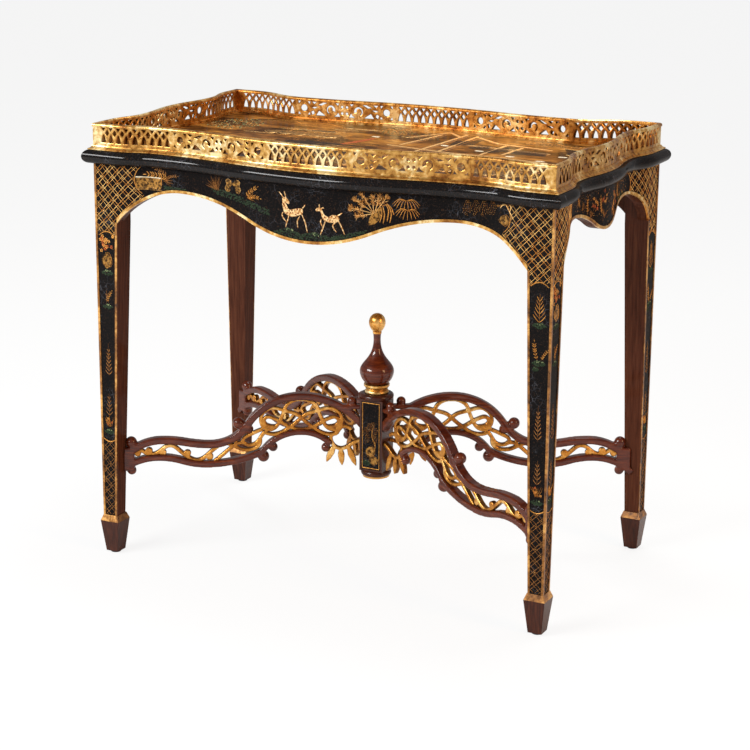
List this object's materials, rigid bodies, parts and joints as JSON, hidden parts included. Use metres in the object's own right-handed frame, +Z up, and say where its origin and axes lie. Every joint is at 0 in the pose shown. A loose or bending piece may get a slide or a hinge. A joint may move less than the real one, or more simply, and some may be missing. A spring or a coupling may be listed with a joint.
{
  "type": "side table",
  "caption": "Lacquered side table with a serpentine tray top, a pierced gilt gallery, tapered legs on spade feet and a carved cross stretcher with a central finial.",
  "frame": {"origin": "on the floor, in the middle of the four feet and under the post", "axes": "+X along the front to the right, +Y from the front to the back, +Z up"},
  "size_m": [0.805, 0.487, 0.711],
  "materials": {
    "tray_lacquer": "black lacquer with a gold landscape, gloss",
    "edge_lacquer": "black lacquer, high gloss",
    "cove_gilt": "water gilt over red bole, rubbed",
    "gallery_gilt": "water gilt over red bole, rubbed",
    "apron_lacquer": "black lacquer with gold decoration",
    "bead_gilt": "water gilt over red bole, rubbed",
    "leg_lacquer": "black lacquer with gold decoration outside, stained mahogany inside",
    "foot_mahogany": "dark polished mahogany",
    "arm_mahogany": "dark polished mahogany",
    "tracery_gilt": "water gilt over red bole, rubbed",
    "band_gilt": "water gilt over red bole, rubbed",
    "glide_metal": "dark blue-grey paint",
    "post_mahogany": "dark polished mahogany",
    "panel_lacquer": "black lacquer with gold decoration",
    "base_mahogany": "dark polished mahogany with a gilt rim",
    "cap_mahogany": "dark polished mahogany",
    "collar_gilt": "water gilt over red bole, rubbed",
    "finial_mahogany": "dark polished mahogany",
    "ball_gilt": "water gilt over red bole, rubbed",
    "block_wood": "raw softwood",
    "screw_steel": "plain steel"
  },
  "bodies": {
    "root": {"tray_board": "tray_lacquer", "edge_moulding_front": "edge_lacquer", "cove_moulding_front": "cove_gilt", "gallery_rail_front": "gallery_gilt", "gallery_fret_front": "gallery_gilt", "apron_front": "apron_lacquer", "apron_bead_front": "bead_gilt", "edge_moulding_right": "edge_lacquer", "cove_moulding_right": "cove_gilt", "gallery_rail_right": "gallery_gilt", "gallery_fret_right": "gallery_gilt", "apron_right": "apron_lacquer", "apron_bead_right": "bead_gilt", "edge_moulding_back": "edge_lacquer", "cove_moulding_back": "cove_gilt", "gallery_rail_back": "gallery_gilt", "gallery_fret_back": "gallery_gilt", "apron_back": "apron_lacquer", "apron_bead_back": "bead_gilt", "edge_moulding_left": "edge_lacquer", "cove_moulding_left": "cove_gilt", "gallery_rail_left": "gallery_gilt", "gallery_fret_left": "gallery_gilt", "apron_left": "apron_lacquer", "apron_bead_left": "bead_gilt", "leg_front_left": "leg_lacquer", "leg_beads_front_left": "bead_gilt", "foot_front_left": "foot_mahogany", "stretcher_arm_front_left": "arm_mahogany", "stretcher_tracery_front_left": "tracery_gilt", "leg_front_right": "leg_lacquer", "leg_beads_front_right": "bead_gilt", "foot_front_right": "foot_mahogany", "stretcher_arm_front_right": "arm_mahogany", "stretcher_tracery_front_right": "tracery_gilt", "leg_back_left": "leg_lacquer", "leg_beads_back_left": "bead_gilt", "foot_back_left": "foot_mahogany", "stretcher_arm_back_left": "arm_mahogany", "stretcher_tracery_back_left": "tracery_gilt", "leg_back_right": "leg_lacquer", "leg_beads_back_right": "bead_gilt", "foot_back_right": "foot_mahogany", "stretcher_arm_back_right": "arm_mahogany", "stretcher_tracery_back_right": "tracery_gilt", "foot_bands": "band_gilt", "floor_glides": "glide_metal", "stretcher_post": "post_mahogany", "post_panels": "panel_lacquer", "post_base": "base_mahogany", "post_cap": "cap_mahogany", "finial_collar": "collar_gilt", "finial_bulb": "finial_mahogany", "finial_ball": "ball_gilt", "corner_blocks": "block_wood", "top_screws": "screw_steel"}
  },
  "joints": []
}
